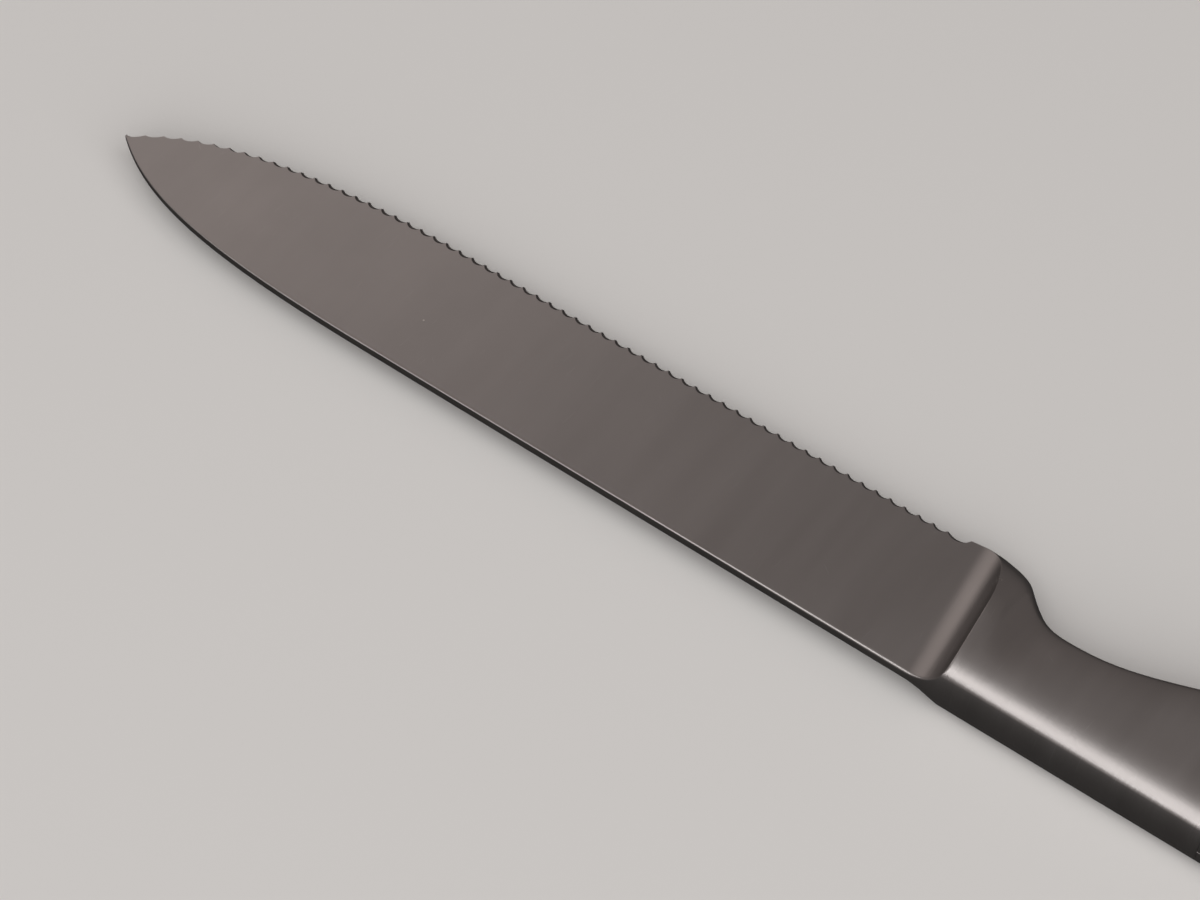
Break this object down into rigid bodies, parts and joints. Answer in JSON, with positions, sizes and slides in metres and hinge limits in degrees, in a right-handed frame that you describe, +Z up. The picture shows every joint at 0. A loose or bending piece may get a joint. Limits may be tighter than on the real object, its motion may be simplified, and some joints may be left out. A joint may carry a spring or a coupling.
{
  "type": "serrated table knife",
  "caption": "Serrated table knife lying on its flank: ground stainless blade and forged bolster with a finger relief, welded to a hollow pressed stainless handle with a butt cap.",
  "frame": {"origin": "under the middle of the knife's box, on the surface it lies on", "axes": "+X from the tip to the butt, +Y towards the serrated edge, +Z up, square to the flat of the blade"},
  "size_m": [0.235, 0.0208, 0.0086],
  "materials": {
    "blade_steel": "fine satin grind across the blade, brushed across the bolster",
    "handle_steel": "brushed across the handle",
    "cap_steel": "brushed, slightly polished on the rounding",
    "cement": "dull resin cement",
    "weight_iron": "as cast"
  },
  "bodies": {
    "root": {"blade_forging": "blade_steel", "handle_shell_upper": "handle_steel", "handle_shell_lower": "handle_steel", "butt_cap": "cap_steel", "setting_cement": "cement", "balance_weight": "weight_iron"}
  },
  "joints": []
}
